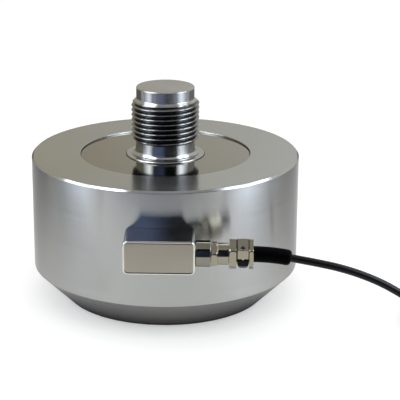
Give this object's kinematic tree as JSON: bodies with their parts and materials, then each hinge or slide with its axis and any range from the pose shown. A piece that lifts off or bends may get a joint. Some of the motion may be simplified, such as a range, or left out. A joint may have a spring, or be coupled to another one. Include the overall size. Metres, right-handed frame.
{
  "type": "force transducer",
  "caption": "Round steel force transducer with a threaded load stud, a chamfered foot, a side connection box and a plugged signal cable.",
  "frame": {"origin": "on the load axis, at the plane of the foot that stands on the mounting surface", "axes": "+Z along the load axis towards the stud's end; the connection box faces -Y; the plug and cable leave towards +X"},
  "size_m": [0.3149, 0.1877, 0.1315],
  "materials": {
    "elastic_body": "fine turned, bright plated",
    "top_diaphragm": "bright sheet",
    "base_plate": "fine turned",
    "base_seal": "moulded",
    "base_screws": "blackened",
    "junction_box": "bright plated",
    "box_gasket": "moulded",
    "box_screws": "blackened",
    "name_plate": "satin, bare",
    "gauges": "polyimide film",
    "bridge_board": "lacquered board",
    "balance_resistor": "matt",
    "signal_wires": "matt sleeve",
    "wire_bush": "moulded",
    "connector_shell": "nickel plated",
    "connector_insert": "moulded",
    "connector_seal": "moulded",
    "contacts": "gilt",
    "cable_clamp": "nickel plated",
    "clamp_shoe": "moulded",
    "clamp_screws": "blackened",
    "cable_boot": "moulded, slight sheen",
    "cable": "smooth jacket",
    "coil_ties": "nylon"
  },
  "bodies": {
    "root": {"elastic_body": "elastic_body", "top_diaphragm": "top_diaphragm", "base_plate": "base_plate", "base_seal": "base_seal", "base_screw_1": "base_screws", "base_screw_2": "base_screws", "base_screw_3": "base_screws", "base_screw_4": "base_screws", "base_screw_5": "base_screws", "base_screw_6": "base_screws", "strain_gauge_1": "gauges", "strain_gauge_2": "gauges", "strain_gauge_3": "gauges", "strain_gauge_4": "gauges", "strain_gauge_5": "gauges", "strain_gauge_6": "gauges", "strain_gauge_7": "gauges", "strain_gauge_8": "gauges", "bridge_board": "bridge_board", "balance_resistor_1": "balance_resistor", "signal_wires": "signal_wires", "wire_bush": "wire_bush", "junction_box": "junction_box", "box_gasket": "box_gasket", "box_screw_1": "box_screws", "box_screw_2": "box_screws", "name_plate": "name_plate", "receptacle_shell": "connector_shell", "receptacle_seal": "connector_seal", "receptacle_insert": "connector_insert", "contact_pin_1": "contacts", "contact_pin_2": "contacts", "contact_pin_3": "contacts", "contact_pin_4": "contacts", "contact_pin_5": "contacts", "contact_pin_6": "contacts", "coupling_ring": "connector_shell", "plug_shell": "connector_shell", "plug_insert": "connector_insert", "socket_contact_1": "contacts", "socket_contact_2": "contacts", "socket_contact_3": "contacts", "socket_contact_4": "contacts", "socket_contact_5": "contacts", "socket_contact_6": "contacts", "clamp_body": "cable_clamp", "clamp_saddle": "cable_clamp", "clamp_shoe": "clamp_shoe", "clamp_screw_1": "clamp_screws", "clamp_screw_2": "clamp_screws", "cable_boot": "cable_boot", "cable": "cable", "cable_coil": "cable", "coil_tie_1": "coil_ties", "coil_tie_2": "coil_ties", "instrument_plug_shell": "connector_shell", "instrument_plug_ring": "connector_shell", "instrument_plug_insert": "connector_insert", "instrument_plug_boot": "cable_boot"}
  },
  "joints": []
}
